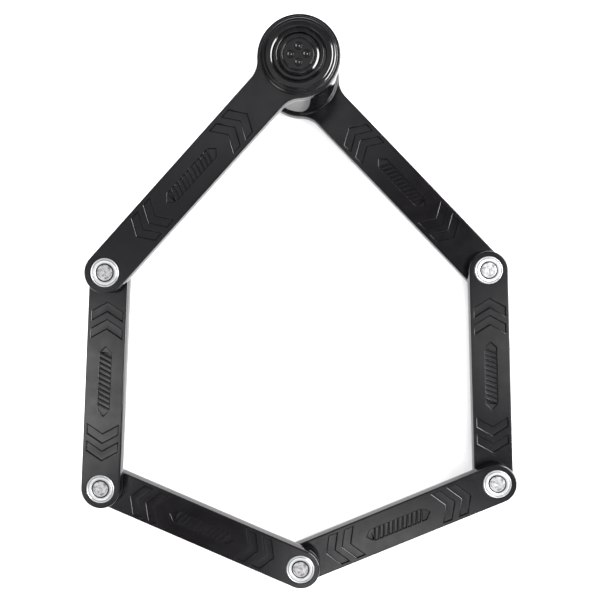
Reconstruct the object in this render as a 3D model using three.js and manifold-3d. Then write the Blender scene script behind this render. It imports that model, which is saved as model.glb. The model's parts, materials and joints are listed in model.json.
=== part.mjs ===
// Folding bike lock: six flat links riveted end to end into a loop, closed by a round key lock.
// Millimetres, +Z up. The loop lies flat, with the lock towards +Y. Each link lies on a level of its
// own, link 1 lowest and link 6 highest, and the barrel of the lock fills the four levels between.
import * as THREE from 'three';
import { mergeVertices } from 'three/addons/utils/BufferGeometryUtils.js';
import Module from 'manifold-3d';

// Links
const LONG = 196; // lock axis to rivet, links 1 and 6
const SHORT = 152; // rivet to rivet, links 2 to 5
const LEVEL = 8; // from one link up to the next
const LINK_HEIGHT = 7.2;
const LONG_RADIUS = 14.5; // half the width of links 1 and 6, and their round ends
const SHORT_RADIUS = 14; // and of links 2 to 5
const HEAD_RADIUS = 28.2;
const NECK_RADIUS = 16.5; // fillet from the head into the link
const BAR_HEIGHT = 5; // the steel bar inside a cover
const BAR_INSET = 1.7; // from the side of the cover to the bar
const EDGE_WIDTH = 1.3; // rounding of the cover's edges, across
const EDGE_HEIGHT = 1.2; // and down
const GAP = 0.3; // between a cut piece and what lies in it
const FACE_GAP = 0.1; // between flat faces
const BAR_BASE = (LINK_HEIGHT - BAR_HEIGHT) / 2;

// How the loop lies: links 1 and 6 spread from the lock, links 2 and 5 lean outwards
const RIGHT_SPREAD = 43.6;
const LEFT_SPREAD = 42.6;
const RIGHT_LEAN = 1.8;
const LEFT_LEAN = 2.8;

// Pivots
const SHANK_RADIUS = 5;
const RIVET_HEAD_RADIUS = 6.1;
const RIVET_HEAD_HEIGHT = 0.6;
const WASHER_RADIUS = 9.85;
const WASHER_HEIGHT = 1;
const WASHER_LIP = 0.35; // what the rivet head presses on
const PIVOT_HOLE = SHANK_RADIUS + GAP;
const COVER_HOLE = WASHER_RADIUS + GAP;

// Barrel
const BARREL_RADIUS = 26.2;
const BARREL_BASE = 7.3;
const BARREL_TOP = 39.4;
const BARREL_RIM_RADIUS = 27.3;
const SLEEVE_WALL = 1.2;
const BODY_RADIUS = BARREL_RADIUS - SLEEVE_WALL - GAP;
const END_PLATE_HEIGHT = 1;
const CASE_RADIUS = 12.5;
const CASE_FLANGE_RADIUS = 16.5;
const CASE_TOP = 22.6;
const CHAMBER_TOP = 25.2;

// Key side, under link 1
const KEY_WELL_RADIUS = 17;
const KEY_WELL_DEPTH = 2.7;
const KEY_HOLE_RADIUS = 9.3;
const DUST_COVER_RADIUS = 11;
const DUST_COVER_BASE = 1;
const DUST_COVER_TOP = 2.3;
const KEY_SLOT = { from: 1, to: 4, half: 4 }; // across and along the slot in the dust cover
const TRIM_BASE = 0.2;
const TRIM_LIP_TOP = 0.9;
const TRIM_LIP_WIDTH = 1.6;
const PLUG_RADIUS = 7.1;
const PLUG_MOUTH = 4.4;
const PLUG_FLOOR = 4.6;
const PLUG_BORE = 5.9;
const PLUG_BASE = 3.3;
const PLUG_TOP = 21;
const DISC_COUNT = 5;
const DISC_RADIUS = 5.6;
const DISC_HEIGHT = 2;
const DISC_STEP = 2.7;
const DISC_BASE = 4.9;
const DISC_NOTCH_DEPTH = 0.7;
const KEY_HOLE_HALF = 2.9; // radius of the half-round hole in a disc
const SIDEBAR_WIDTH = 1.5;
const SIDEBAR_DEPTH = 1.6;
const SIDEBAR_MIDDLE = 6.1; // from the lock axis
const WINDOW_DEPTH = 4; // of the cut that lets the sidebar through the plug's wall
const DRIVER_HEIGHT = 1.2;
const STUD_RADIUS = 1.5;
const STUD_OFFSET = 8;

// Locking spigot, with its balls and wedge
const SPIGOT_RADIUS = 8.6;
const SPIGOT_BORE = 5.5;
const SPIGOT_BASE = 25;
const BALL_COUNT = 3;
const BALL_RADIUS = 2.3;
const BALL_HEIGHT = 36.3;
const BALL_REST = 6.1; // from the lock axis to a ball's centre
const BALL_TRAVEL = 1.3;
const BALL_SOCKET = { from: 3, to: 12 }; // out from the lock axis, through the spigot's wall
const WEDGE_TRAVEL = 2.9;
const WEDGE_RADIUS = 5.15;
const WEDGE_BASE = 29;
const WEDGE_SHOULDER = 32.5;
const WEDGE_TOP = 36;
const KEEPER_RADIUS = 13.2;
const KEEPER_GROOVE_RADIUS = 10.2;
const KEEPER_LIP = 2; // height of the lip that the balls lock behind
const KEEPER_INSET = 0.2; // from each face of link 6 to the keeper
const GUIDE_RADIUS = SPIGOT_RADIUS + GAP;

// Cap on the head of link 6
const CAP_RADIUS = 26;
const CAP_TOP = 50.2;
const CAP_BORE = 14.4;
const CAP_STEP = 0.8; // from the top down to the ring outside the wide groove
const CAP_GROOVE = { inner: 16.8, outer: 18.5, floor: 0.9 }; // floor is above the cap's base
const INSERT_RADIUS = 12.9;
const INSERT_RIM = 10.8;
const INSERT_GROOVE_WIDTH = 0.6;
const INSERT_GROOVE_DEPTH = 0.6;
const CAP_PIN_COUNT = 4;
const CAP_PIN_RADIUS = 2.35;
const CAP_PIN_CIRCLE = 5.3;
const CAP_PIN_HEIGHT = 0.7;

const ROUND = 16; // facets round a small turned piece
const ROUND_WIDE = 32; // and round a wide one
const END_STEPS = 10; // facets on a link's round end
const NECK_STEPS = 3;
const HEAD_STEPS = 24;

const wasm = await Module();
wasm.setup();

const material = (color, roughness, metalness) =>
  new THREE.MeshStandardMaterial({ color, roughness, metalness });
const finishes = {
  steel: material(0x8d9095, 0.4, 0.95),
  hardened: material(0x6a6d72, 0.35, 0.95),
  zinc: material(0xb9bbbe, 0.3, 0.95),
  brass: material(0xb8964c, 0.35, 0.95),
  cover: material(0x2b2a2e, 0.6, 0),
  gloss: material(0x0a0a0c, 0.12, 0),
  cap: material(0x313033, 0.38, 0),
};

const lock = new THREE.Group();
const parts = new THREE.Group();
lock.add(parts);

function addMesh(parent, name, geometry, finish) {
  const mesh = new THREE.Mesh(geometry, finishes[finish]);
  mesh.name = name;
  parent.add(mesh);
  return mesh;
}

// Solids ------------------------------------------------------------------------------------

// Turns a profile of [radius, height] points about the Z axis. It runs outwards, up and back in.
function turned(profile, facets = ROUND) {
  const points = profile.map(([radius, height]) => new THREE.Vector2(radius, height));
  return new THREE.LatheGeometry(points, facets).rotateX(Math.PI / 2);
}

function ring(inner, outer, base, top, facets = ROUND) {
  const profile = [[inner, base], [outer, base], [outer, top], [inner, top], [inner, base]];
  return turned(profile, facets);
}

function disc(radius, base, top, facets = ROUND) {
  return turned([[0, base], [radius, base], [radius, top], [0, top]], facets);
}

// A flat outline raised from base to top, with its edges broken if asked.
function plate(shape, base, top, edge = null) {
  const settings = { depth: top - base, bevelEnabled: false, curveSegments: ROUND / 2 };
  if (edge === null) return new THREE.ExtrudeGeometry(shape, settings).translate(0, 0, base);
  settings.depth -= 2 * edge.height;
  settings.bevelEnabled = true;
  settings.bevelThickness = edge.height;
  settings.bevelSize = edge.width;
  settings.bevelOffset = -edge.width;
  settings.bevelSegments = 1;
  return new THREE.ExtrudeGeometry(shape, settings).translate(0, 0, base + edge.height);
}

// The closed solid of a geometry, for cutting and joining.
function solidOf(geometry) {
  const bare = geometry.clone();
  bare.deleteAttribute('normal');
  bare.deleteAttribute('uv');
  const merged = mergeVertices(bare, 1e-4);
  const corners = Array.from(merged.index.array);
  const kept = [];
  for (let i = 0; i < corners.length; i += 3) {
    const [a, b, c] = corners.slice(i, i + 3);
    if (a !== b && b !== c && c !== a) kept.push(a, b, c);
  }
  const vertProperties = Float32Array.from(merged.attributes.position.array);
  const triVerts = Uint32Array.from(kept);
  return new wasm.Manifold(new wasm.Mesh({ numProp: 3, vertProperties, triVerts }));
}

function geometryOf(solid) {
  const mesh = solid.getMesh();
  const geometry = new THREE.BufferGeometry();
  geometry.setAttribute('position', new THREE.BufferAttribute(mesh.vertProperties, 3));
  geometry.setIndex(new THREE.BufferAttribute(mesh.triVerts, 1));
  return geometry;
}

function cutAway(geometry, ...tools) {
  let solid = solidOf(geometry);
  for (const tool of tools) solid = solid.subtract(solidOf(tool));
  return geometryOf(solid);
}

// Links -------------------------------------------------------------------------------------

// A closed outline through a row of arcs, each with its centre, radius, angles and facets.
function outlineThrough(arcs) {
  const points = [];
  for (const { x, y, radius, from, to, steps } of arcs) {
    for (let i = 0; i <= steps; i += 1) {
      const angle = from + ((to - from) * i) / steps;
      points.push(new THREE.Vector2(x + radius * Math.cos(angle), y + radius * Math.sin(angle)));
    }
  }
  return new THREE.Shape(points);
}

// A plain link from (0, 0) to (SHORT, 0), with round ends, drawn in by an inset.
function shortOutline(inset) {
  const radius = SHORT_RADIUS - inset;
  const quarter = Math.PI / 2;
  return outlineThrough([
    { x: SHORT, y: 0, radius, from: -quarter, to: quarter, steps: END_STEPS },
    { x: 0, y: 0, radius, from: quarter, to: 3 * quarter, steps: END_STEPS },
  ]);
}

// A link with a round head at (0, 0), which necks down to the link with a fillet on each side.
// Each neck leaves out its end points, which the head or the side of the link already has.
function longOutline(inset) {
  const radius = LONG_RADIUS - inset;
  const head = HEAD_RADIUS - inset;
  const neck = NECK_RADIUS + inset;
  const rise = radius + neck;
  const reach = Math.sqrt((head + neck) ** 2 - rise ** 2);
  const tangent = Math.atan2(rise, reach);
  const quarter = Math.PI / 2;
  const step = (quarter - tangent) / NECK_STEPS;
  const steps = NECK_STEPS - 1;
  return outlineThrough([
    { x: LONG, y: 0, radius, from: -quarter, to: quarter, steps: END_STEPS },
    { x: reach, y: rise, radius: neck, from: 3 * quarter, to: 2 * quarter + tangent + step, steps },
    { x: 0, y: 0, radius: head, from: tangent, to: 4 * quarter - tangent, steps: HEAD_STEPS },
    { x: reach, y: -rise, radius: neck, from: 2 * quarter - tangent - step, to: quarter, steps },
  ]);
}

const isLong = (link) => link === 1 || link === 6;
const outlineOf = (link, inset) => (isLong(link) ? longOutline : shortOutline)(inset);
const pivotEnds = (link) => (isLong(link) ? [LONG] : [0, SHORT]);
const levelBase = (link) => (link - 1) * LEVEL;

// What the head of link 1 or link 6 is bored out to, in its bar and in its cover.
const headBores = {
  1: { bar: KEY_HOLE_RADIUS, cover: KEY_WELL_RADIUS },
  6: { bar: KEEPER_RADIUS + GAP, cover: KEEPER_RADIUS + GAP },
};

function boreAt(x, radius) {
  return disc(radius, -LEVEL, 2 * LEVEL).translate(x, 0, 0);
}

function linkBar(link) {
  const bar = plate(outlineOf(link, BAR_INSET), BAR_BASE, BAR_BASE + BAR_HEIGHT);
  const tools = pivotEnds(link).map((x) => boreAt(x, PIVOT_HOLE));
  if (isLong(link)) tools.push(boreAt(0, headBores[link].bar));
  if (link === 1) tools.push(disc(KEY_WELL_RADIUS, -LEVEL, KEY_WELL_DEPTH));
  return cutAway(bar, ...tools);
}

function linkCover(link) {
  const edge = { width: EDGE_WIDTH, height: EDGE_HEIGHT };
  const cover = plate(outlineOf(link, 0), 0, LINK_HEIGHT, edge);
  const hollowBase = BAR_BASE - FACE_GAP;
  const hollow = plate(outlineOf(link, BAR_INSET - GAP), hollowBase, LINK_HEIGHT - hollowBase);
  const tools = pivotEnds(link).map((x) => boreAt(x, COVER_HOLE));
  if (isLong(link)) tools.push(boreAt(0, headBores[link].cover));
  return cutAway(cover, hollow, ...tools);
}

const degrees = THREE.MathUtils.degToRad;

// A point at a distance from another, at an angle from the -Y direction towards +X.
function pointFrom(start, distance, angle) {
  const x = start.x + distance * Math.sin(degrees(angle));
  const y = start.y - distance * Math.cos(degrees(angle));
  return new THREE.Vector2(x, y);
}

// The pivots in order from the lock, round by links 1 to 6. The lowest one closes the loop.
function pivotPoints() {
  const axis = new THREE.Vector2(0, 0);
  const first = pointFrom(axis, LONG, RIGHT_SPREAD);
  const second = pointFrom(first, SHORT, RIGHT_LEAN);
  const fifth = pointFrom(axis, LONG, -LEFT_SPREAD);
  const fourth = pointFrom(fifth, SHORT, -LEFT_LEAN);
  const across = second.clone().sub(fourth);
  const drop = Math.sqrt(SHORT ** 2 - across.lengthSq() / 4);
  const down = new THREE.Vector2(across.y, -across.x).setLength(drop);
  const third = fourth.clone().add(second).multiplyScalar(0.5).add(down);
  return [axis, first, second, third, fourth, fifth];
}

const pivots = pivotPoints();

function addLink(link) {
  const last = link === 6;
  const start = last ? pivots[0] : pivots[link - 1];
  const end = last ? pivots[5] : pivots[link];
  const frame = new THREE.Group();
  frame.position.set(start.x, start.y, levelBase(link));
  frame.rotation.z = Math.atan2(end.y - start.y, end.x - start.x);
  parts.add(frame);
  addMesh(frame, `link_${link}_bar`, linkBar(link), 'steel');
  addMesh(frame, `link_${link}_cover`, linkCover(link), 'cover');
}

// Pivots ------------------------------------------------------------------------------------

// A washer with a sunk seat for the rivet head, its outer face up and at height 0.
function washer() {
  const seat = RIVET_HEAD_RADIUS + GAP;
  return turned([
    [PIVOT_HOLE, -WASHER_HEIGHT],
    [WASHER_RADIUS, -WASHER_HEIGHT],
    [WASHER_RADIUS, 0],
    [seat, 0],
    [seat, WASHER_LIP - WASHER_HEIGHT],
    [PIVOT_HOLE, WASHER_LIP - WASHER_HEIGHT],
    [PIVOT_HOLE, -WASHER_HEIGHT],
  ]);
}

// A rivet through two links, with a head at each end sunk in its washer. It stands on height 0.
function rivet() {
  const top = LEVEL + LINK_HEIGHT;
  return turned([
    [0, 0],
    [RIVET_HEAD_RADIUS, 0],
    [RIVET_HEAD_RADIUS, RIVET_HEAD_HEIGHT],
    [SHANK_RADIUS, RIVET_HEAD_HEIGHT],
    [SHANK_RADIUS, top - RIVET_HEAD_HEIGHT],
    [RIVET_HEAD_RADIUS, top - RIVET_HEAD_HEIGHT],
    [RIVET_HEAD_RADIUS, top],
    [0, top],
  ]);
}

// The pivot between a link and the next one up.
function addPivot(link) {
  const frame = new THREE.Group();
  frame.position.set(pivots[link].x, pivots[link].y, levelBase(link));
  parts.add(frame);
  const spacerBase = BAR_BASE + BAR_HEIGHT + FACE_GAP;
  const spacerTop = LEVEL + BAR_BASE - FACE_GAP;
  const spacer = ring(PIVOT_HOLE, WASHER_RADIUS, spacerBase, spacerTop);
  const frontWasher = washer().translate(0, 0, LEVEL + LINK_HEIGHT);
  addMesh(frame, `rivet_${link}`, rivet(), 'steel');
  addMesh(frame, `front_washer_${link}`, frontWasher, 'zinc');
  addMesh(frame, `rear_washer_${link}`, washer().rotateX(Math.PI), 'zinc');
  addMesh(frame, `spacer_${link}`, spacer, 'zinc');
}

// Barrel ------------------------------------------------------------------------------------

function addBarrel() {
  const inner = BARREL_RADIUS - SLEEVE_WALL;
  const sleeve = turned([
    [inner, BARREL_BASE],
    [BARREL_RIM_RADIUS, BARREL_BASE],
    [BARREL_RIM_RADIUS, BARREL_BASE + 0.3],
    [BARREL_RADIUS, BARREL_BASE + 0.45],
    [BARREL_RADIUS, BARREL_TOP - 0.6],
    [BARREL_RADIUS - 0.5, BARREL_TOP],
    [inner, BARREL_TOP],
    [inner, BARREL_BASE],
  ], ROUND_WIDE);
  const base = BARREL_BASE + FACE_GAP;
  const plateBase = BARREL_TOP - END_PLATE_HEIGHT;
  const ballRelief = BALL_HEIGHT - BALL_RADIUS - 0.2;
  const body = turned([
    [CASE_RADIUS + GAP, base],
    [BODY_RADIUS, base],
    [BODY_RADIUS, plateBase - FACE_GAP],
    [KEEPER_GROOVE_RADIUS, plateBase - FACE_GAP],
    [KEEPER_GROOVE_RADIUS, ballRelief],
    [GUIDE_RADIUS, ballRelief],
    [GUIDE_RADIUS, CHAMBER_TOP],
    [CASE_RADIUS + GAP, CHAMBER_TOP],
    [CASE_RADIUS + GAP, base],
  ], ROUND_WIDE);
  const endPlate = ring(GUIDE_RADIUS, BODY_RADIUS, plateBase, BARREL_TOP, ROUND_WIDE);
  addMesh(parts, 'barrel_sleeve', sleeve, 'gloss');
  addMesh(parts, 'barrel_body', body, 'hardened');
  addMesh(parts, 'barrel_end_plate', endPlate, 'hardened');
}

// Key cylinder ------------------------------------------------------------------------------

function addKeySide() {
  const lip = DUST_COVER_RADIUS - TRIM_LIP_WIDTH;
  const well = DUST_COVER_RADIUS + GAP;
  const outer = KEY_WELL_RADIUS - GAP;
  const trim = turned([
    [lip, TRIM_BASE],
    [outer, TRIM_BASE],
    [outer, KEY_WELL_DEPTH - FACE_GAP],
    [well, KEY_WELL_DEPTH - FACE_GAP],
    [well, TRIM_LIP_TOP],
    [lip, TRIM_LIP_TOP],
    [lip, TRIM_BASE],
  ]);
  const cover = new THREE.Shape();
  cover.absarc(0, 0, DUST_COVER_RADIUS, 0, 2 * Math.PI, false);
  const slot = new THREE.Path();
  slot.moveTo(KEY_SLOT.from, -KEY_SLOT.half);
  slot.lineTo(KEY_SLOT.to, -KEY_SLOT.half);
  slot.lineTo(KEY_SLOT.to, KEY_SLOT.half);
  slot.lineTo(KEY_SLOT.from, KEY_SLOT.half);
  slot.closePath();
  cover.holes.push(slot);
  addMesh(parts, 'rear_trim_ring', trim, 'zinc');
  addMesh(parts, 'dust_cover', plate(cover, DUST_COVER_BASE, DUST_COVER_TOP), 'gloss');
}

// A lock disc with a half-round key hole, and a notch in its rim for the sidebar.
function lockDisc(base) {
  const half = SIDEBAR_WIDTH / 2 + GAP;
  const notch = DISC_RADIUS - DISC_NOTCH_DEPTH;
  const start = Math.asin(half / DISC_RADIUS);
  const shape = new THREE.Shape();
  shape.absarc(0, 0, DISC_RADIUS, start, 2 * Math.PI - start, false);
  shape.lineTo(notch, -half);
  shape.lineTo(notch, half);
  shape.closePath();
  const keyHole = new THREE.Path();
  keyHole.absarc(0, 0, KEY_HOLE_HALF, -Math.PI / 2, Math.PI / 2, false);
  keyHole.closePath();
  shape.holes.push(keyHole);
  return plate(shape, base, base + DISC_HEIGHT);
}

function addCylinder() {
  const caseBase = BAR_BASE + BAR_HEIGHT + FACE_GAP;
  const caseBore = PLUG_RADIUS + GAP;
  const cylinderCase = turned([
    [caseBore, caseBase],
    [CASE_FLANGE_RADIUS, caseBase],
    [CASE_FLANGE_RADIUS, LINK_HEIGHT],
    [CASE_RADIUS, LINK_HEIGHT],
    [CASE_RADIUS, CASE_TOP],
    [caseBore, CASE_TOP],
    [caseBore, caseBase],
  ]);
  const carrier = turned([
    [PLUG_MOUTH, PLUG_BASE],
    [PLUG_RADIUS, PLUG_BASE],
    [PLUG_RADIUS, PLUG_TOP],
    [PLUG_BORE, PLUG_TOP],
    [PLUG_BORE, PLUG_FLOOR],
    [PLUG_MOUTH, PLUG_FLOOR],
    [PLUG_MOUTH, PLUG_BASE],
  ]);
  const stackTop = DISC_BASE + (DISC_COUNT - 1) * DISC_STEP + DISC_HEIGHT;
  const sidebarHeight = stackTop - DISC_BASE;
  const sidebarMiddle = DISC_BASE + sidebarHeight / 2;
  const windowWidth = SIDEBAR_WIDTH + 2 * GAP;
  const window = new THREE.BoxGeometry(WINDOW_DEPTH, windowWidth, sidebarHeight + 2 * GAP);
  window.translate(PLUG_RADIUS, 0, sidebarMiddle);
  const sidebar = new THREE.BoxGeometry(SIDEBAR_DEPTH, SIDEBAR_WIDTH, sidebarHeight);
  sidebar.translate(SIDEBAR_MIDDLE, 0, sidebarMiddle);
  addMesh(parts, 'cylinder_case', cylinderCase, 'brass');
  addMesh(parts, 'key_plug', cutAway(carrier, window), 'brass');
  addMesh(parts, 'sidebar', sidebar, 'hardened');
  for (let i = 0; i < DISC_COUNT; i += 1) {
    addMesh(parts, `lock_disc_${i + 1}`, lockDisc(DISC_BASE + i * DISC_STEP), 'hardened');
  }
  const driverBase = stackTop + 2 * GAP;
  const flangeBase = CASE_TOP + 2 * FACE_GAP;
  const flangeTop = flangeBase + DRIVER_HEIGHT;
  const flangeRadius = CASE_RADIUS - 0.5;
  const driver = turned([
    [0, driverBase],
    [PLUG_BORE - GAP, driverBase],
    [PLUG_BORE - GAP, flangeBase],
    [flangeRadius, flangeBase],
    [flangeRadius, flangeTop],
    [0, flangeTop],
  ]);
  const stud = disc(STUD_RADIUS, flangeTop - STUD_RADIUS / 2, SPIGOT_BASE - 2 * FACE_GAP, 12);
  stud.translate(STUD_OFFSET, 0, 0);
  const camDriver = geometryOf(solidOf(driver).add(solidOf(stud)));
  addMesh(parts, 'cam_driver', camDriver, 'hardened');
}

// Locking spigot ----------------------------------------------------------------------------

// The wedge's cone keeps the same gap to the balls as it rises and they move out.
function addWedge() {
  const slope = BALL_TRAVEL / WEDGE_TRAVEL;
  const topRadius = WEDGE_RADIUS - slope * (WEDGE_TOP - WEDGE_SHOULDER);
  const wedge = turned([
    [0, WEDGE_BASE],
    [WEDGE_RADIUS, WEDGE_BASE],
    [WEDGE_RADIUS, WEDGE_SHOULDER],
    [topRadius, WEDGE_TOP],
    [0, WEDGE_TOP],
  ]);
  addMesh(parts, 'wedge_pin', wedge, 'hardened');
}

function addSpigot() {
  const spigot = turned([
    [0, SPIGOT_BASE],
    [SPIGOT_RADIUS, SPIGOT_BASE],
    [SPIGOT_RADIUS, BARREL_TOP - 0.5],
    [SPIGOT_RADIUS - 0.5, BARREL_TOP],
    [SPIGOT_BORE, BARREL_TOP],
    [SPIGOT_BORE, WEDGE_BASE - 1],
    [0, WEDGE_BASE - 1],
  ]);
  const sockets = [];
  for (let i = 0; i < BALL_COUNT; i += 1) {
    const angle = (2 * Math.PI * i) / BALL_COUNT + Math.PI / 2;
    const socket = disc(BALL_RADIUS + GAP, BALL_SOCKET.from, BALL_SOCKET.to, 12);
    sockets.push(socket.rotateY(Math.PI / 2).rotateZ(angle).translate(0, 0, BALL_HEIGHT));
    const ball = new THREE.SphereGeometry(BALL_RADIUS, 10, 8);
    const mesh = addMesh(parts, `locking_ball_${i + 1}`, ball, 'hardened');
    mesh.position.set(BALL_REST * Math.cos(angle), BALL_REST * Math.sin(angle), BALL_HEIGHT);
  }
  addMesh(parts, 'locking_spigot', cutAway(spigot, ...sockets), 'hardened');
  addWedge();
}

// Head of link 6 ----------------------------------------------------------------------------

function addKeeper() {
  const base = levelBase(6) + KEEPER_INSET;
  const top = levelBase(6) + LINK_HEIGHT - KEEPER_INSET;
  const keeper = turned([
    [GUIDE_RADIUS, base],
    [KEEPER_RADIUS, base],
    [KEEPER_RADIUS, top],
    [KEEPER_GROOVE_RADIUS, top],
    [KEEPER_GROOVE_RADIUS, base + KEEPER_LIP],
    [GUIDE_RADIUS, base + KEEPER_LIP],
    [GUIDE_RADIUS, base],
  ]);
  addMesh(parts, 'keeper_ring', keeper, 'hardened');
}

function addCap() {
  const base = levelBase(6) + LINK_HEIGHT + FACE_GAP;
  const step = CAP_TOP - CAP_STEP;
  const grooveFloor = base + CAP_GROOVE.floor;
  const cap = turned([
    [CAP_BORE, base],
    [CAP_RADIUS, base],
    [CAP_RADIUS, base + 0.5],
    [CAP_RADIUS - 1.2, base + 1.1],
    [CAP_RADIUS - 2.8, base + 1.6],
    [CAP_RADIUS - 3.4, step - 0.2],
    [CAP_GROOVE.outer, step],
    [CAP_GROOVE.outer, grooveFloor],
    [CAP_GROOVE.inner, grooveFloor],
    [CAP_GROOVE.inner, CAP_TOP - 0.4],
    [CAP_GROOVE.inner - 0.3, CAP_TOP - 0.2],
    [CAP_BORE + 0.3, CAP_TOP - 0.2],
    [CAP_BORE, CAP_TOP - 0.5],
    [CAP_BORE, base],
  ], ROUND_WIDE);
  const innerGroove = INSERT_RIM - INSERT_GROOVE_WIDTH;
  const insertBase = base + INSERT_GROOVE_DEPTH;
  const insert = turned([
    [0, insertBase],
    [INSERT_RIM, insertBase],
    [INSERT_RIM, base],
    [CAP_BORE - GAP, base],
    [CAP_BORE - GAP, grooveFloor],
    [INSERT_RADIUS, grooveFloor],
    [INSERT_RADIUS, CAP_TOP - 0.3],
    [INSERT_RADIUS - 0.3, CAP_TOP],
    [INSERT_RIM, CAP_TOP],
    [INSERT_RIM, CAP_TOP - INSERT_GROOVE_DEPTH],
    [innerGroove, CAP_TOP - INSERT_GROOVE_DEPTH],
    [innerGroove, CAP_TOP],
    [0, CAP_TOP],
  ], ROUND_WIDE);
  const pinBase = CAP_TOP + 0.1 - CAP_PIN_HEIGHT;
  const sockets = [];
  for (let i = 0; i < CAP_PIN_COUNT; i += 1) {
    const angle = (2 * Math.PI * i) / CAP_PIN_COUNT;
    const x = CAP_PIN_CIRCLE * Math.cos(angle);
    const y = CAP_PIN_CIRCLE * Math.sin(angle);
    const socket = disc(CAP_PIN_RADIUS + GAP, pinBase - FACE_GAP, CAP_TOP + 1, 12);
    sockets.push(socket.translate(x, y, 0));
    const pin = turned([
      [0, pinBase],
      [CAP_PIN_RADIUS, pinBase],
      [CAP_PIN_RADIUS, pinBase + CAP_PIN_HEIGHT],
      [1.6, pinBase + CAP_PIN_HEIGHT],
      [1.3, CAP_TOP - 0.2],
      [0.6, CAP_TOP - 0.2],
      [0.45, CAP_TOP],
      [0, CAP_TOP],
    ], 12);
    addMesh(parts, `cap_pin_${i + 1}`, pin, 'cap').position.set(x, y, 0);
  }
  addMesh(parts, 'front_cap', cap, 'cap');
  addMesh(parts, 'cap_insert', cutAway(insert, ...sockets), 'cap');
}

for (let link = 1; link <= 6; link += 1) addLink(link);
for (let link = 1; link <= 5; link += 1) addPivot(link);
addBarrel();
addKeySide();
addCylinder();
addSpigot();
addKeeper();
addCap();

// The origin is on the surface under the middle of the lock's footprint.
const middleX = (pivots[2].x + pivots[4].x) / 2;
const middleY = (HEAD_RADIUS + pivots[3].y - SHORT_RADIUS) / 2;
parts.position.set(-middleX, -middleY, 0);

export default lock;
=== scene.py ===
import json
import math

import bmesh
import bpy
from mathutils import Matrix, Vector


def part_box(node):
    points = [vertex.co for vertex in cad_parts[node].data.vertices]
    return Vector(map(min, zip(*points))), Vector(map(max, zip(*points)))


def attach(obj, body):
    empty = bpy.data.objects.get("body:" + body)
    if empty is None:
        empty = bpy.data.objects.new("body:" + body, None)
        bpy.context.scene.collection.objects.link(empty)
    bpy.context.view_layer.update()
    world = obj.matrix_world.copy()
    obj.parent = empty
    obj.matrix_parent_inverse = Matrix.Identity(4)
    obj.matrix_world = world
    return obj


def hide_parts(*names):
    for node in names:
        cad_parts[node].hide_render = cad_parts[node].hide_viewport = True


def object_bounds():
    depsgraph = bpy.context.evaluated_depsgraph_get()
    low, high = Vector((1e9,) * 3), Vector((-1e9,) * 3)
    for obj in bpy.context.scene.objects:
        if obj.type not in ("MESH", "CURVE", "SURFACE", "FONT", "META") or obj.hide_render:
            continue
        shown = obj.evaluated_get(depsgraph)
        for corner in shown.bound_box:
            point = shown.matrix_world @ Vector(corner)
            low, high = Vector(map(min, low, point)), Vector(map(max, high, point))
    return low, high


# A folding bike lock, closed into a loop and lying flat: six covered steel links, riveted end to
# end, and the round key barrel that joins the first link to the last. Profiles are in millimetres.

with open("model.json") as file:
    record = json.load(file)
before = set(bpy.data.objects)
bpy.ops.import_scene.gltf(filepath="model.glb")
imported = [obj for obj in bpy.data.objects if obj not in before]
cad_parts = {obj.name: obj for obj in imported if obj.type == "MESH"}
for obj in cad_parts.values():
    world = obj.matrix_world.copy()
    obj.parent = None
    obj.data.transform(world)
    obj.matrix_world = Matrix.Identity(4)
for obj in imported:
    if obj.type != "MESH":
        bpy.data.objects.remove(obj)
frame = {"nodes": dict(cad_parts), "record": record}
cad_low, cad_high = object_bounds()

MM = 0.001
JOINTS = {joint["name"]: joint for joint in frame["record"]["behaviour"]["joints"]}
LINKS = range(1, 7)
LONG_LINKS = (1, 6)
PIVOT_COUNT = 5


def joint_place(name):
    """The point of a joint's axis, at the height of the surface that the lock lies on."""
    x, y, _ = JOINTS[name]["pos_m"]
    return Vector((x, y, 0))


LOCK_AXIS = joint_place("key_turn")
PIVOTS = [LOCK_AXIS] + [joint_place(f"hinge_{i + 1}") for i in range(PIVOT_COUNT)]
BODY_OF_LINK = {link: "lock_body" if link == 1 else f"link_{link}" for link in LINKS}

# Links
LINK_RADIUS = {True: 14.5, False: 14.0}  # of a long and a short link
HEAD_RADIUS = 28.2
NECK_RADIUS = 16.5
LINK_HEIGHT = 7.2
EDGE_WIDTH = 1.1
EDGE_HEIGHT = 1.1
SIDE_DRAFT = 0.12
EDGE_STEPS = 6
LINK_PLACE = "link_place"  # the attribute that holds a point's place on its link
PARTING_HALF = 0.14
PARTING_DEPTH = 0.16
HOLLOW_INSET = 1.4
HOLLOW_BASE = 1.0
COVER_HOLE = 10.1
HEAD_HOLE = {1: 17.0, 6: 13.5}
HOLE_FACETS = 72
END_STEPS = 32
NECK_STEPS = 12
HEAD_STEPS = 72

# Moulded pattern on each face of a link
PATTERN_FROM_RIVET = {True: 89.0, False: 76.0}  # centre of the pattern
CHEVRON_TIPS = (55.6, 43.4)
CHEVRON_BAND = 6.3
CHEVRON_HALF_WIDTH = 10.9
CHEVRON_SLOPE = math.tan(math.radians(31))
POCKET_DEPTH = 0.65
POCKET_FLOOR = 0.12  # height of the slope at the foot of a pocket's wall
POCKET_TAPER = 0.28
LIP_TURN = math.radians(64)
LIP_STEPS = 5
WIDE_LIP = 0.7
NARROW_LIP = 0.4
PATTERN_SIDE = 12.0  # the pattern lies within this distance of a link's middle line
PANEL_HALF_LENGTH = 24.5
PANEL_HALF_WIDTH = 4.2
RIB_COUNT = 11
RIB_STEP = 3.6
RIB_WIDTH = 1.1
RIB_LEAN = math.radians(24)

# Turned pieces
FACETS = 96
FACETS_WIDE = 160


# Meshes --------------------------------------------------------------------------------------


def add_object(name, mesh, place=Matrix.Identity(4)):
    piece = bpy.data.objects.new(name, mesh)
    bpy.context.scene.collection.objects.link(piece)
    piece.matrix_world = place
    return piece


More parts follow.
